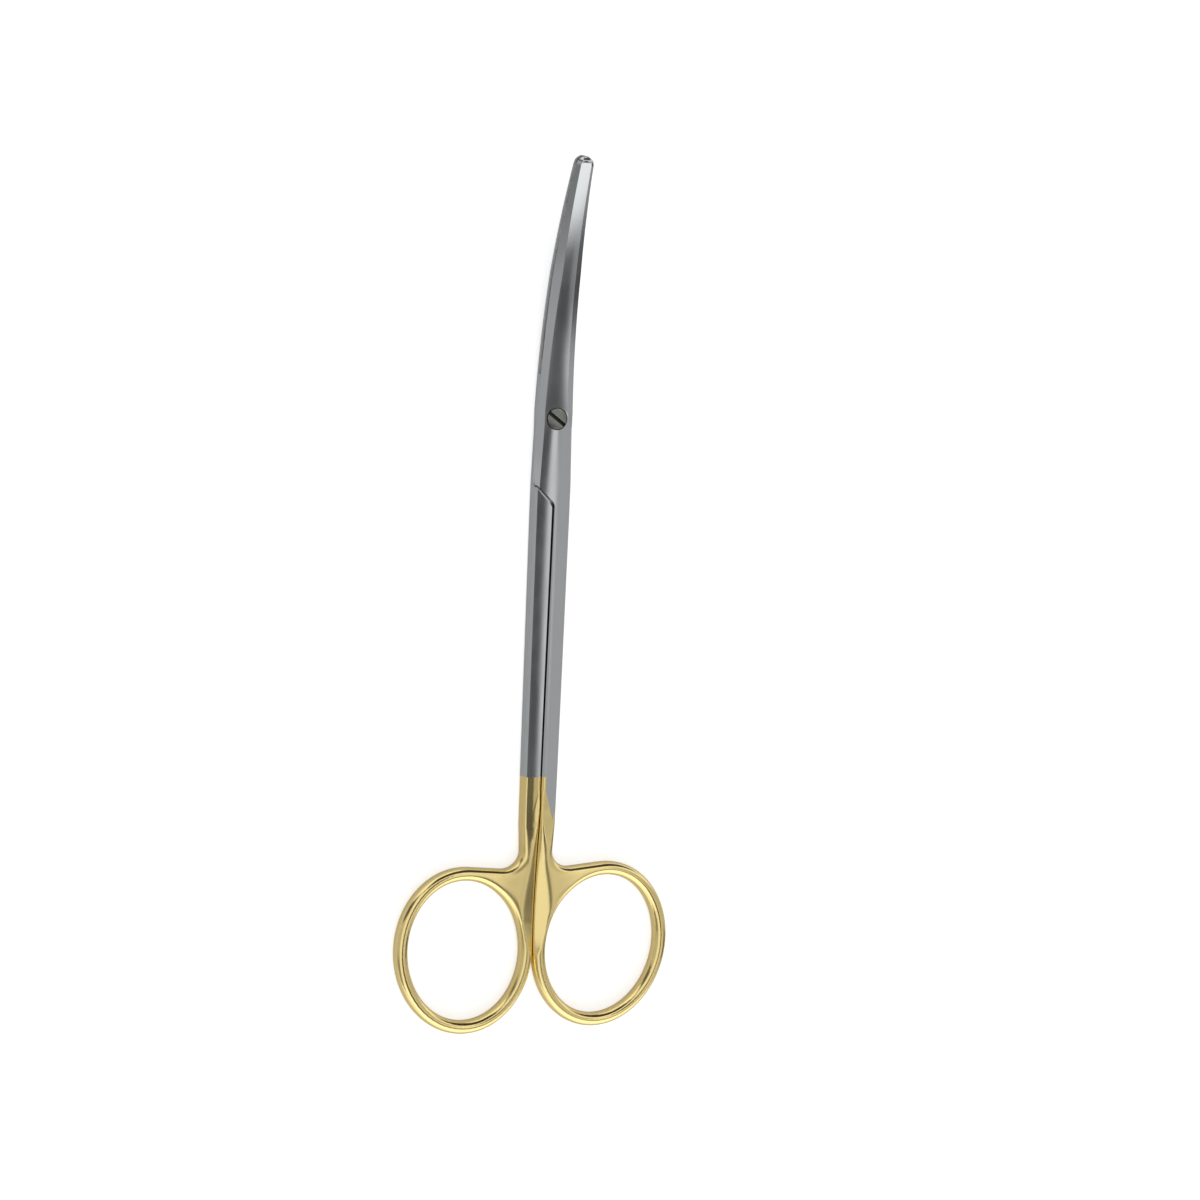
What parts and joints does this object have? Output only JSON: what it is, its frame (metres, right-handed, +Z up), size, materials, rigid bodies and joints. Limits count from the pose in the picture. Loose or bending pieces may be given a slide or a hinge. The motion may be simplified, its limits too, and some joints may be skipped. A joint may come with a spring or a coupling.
{
  "type": "dissecting scissors",
  "caption": "Slim curved dissecting scissors with long shanks, an S-shaped joint step, a slotted pivot screw, gold-plated finger rings and inserted cutting edges.",
  "frame": {"origin": "on the pivot axis, where the screw's flush end meets the surface that the closed scissors lie on", "axes": "+X towards the right-hand finger ring, +Y along the shanks to the tips, +Z up along the pivot axis, out of the screw's head"},
  "size_m": [0.062, 0.1799, 0.0128],
  "materials": {
    "forged_steel": "satin ground, with the rings and the shanks' lower ends gold plated",
    "screw_steel": "turned, satin",
    "edge_carbide": "ground carbide"
  },
  "bodies": {
    "lower_body": {"lower_half": "forged_steel", "lower_edge_insert": "edge_carbide", "pivot_screw": "screw_steel"},
    "upper_body": {"upper_half": "forged_steel", "upper_edge_insert": "edge_carbide"}
  },
  "joints": [
    {"name": "pivot", "type": "hinge", "parent": "lower_body", "child": "upper_body", "pos_m": [0, 0, 0], "axis": [0, 0, 1], "range_deg": [0, 60]}
  ]
}
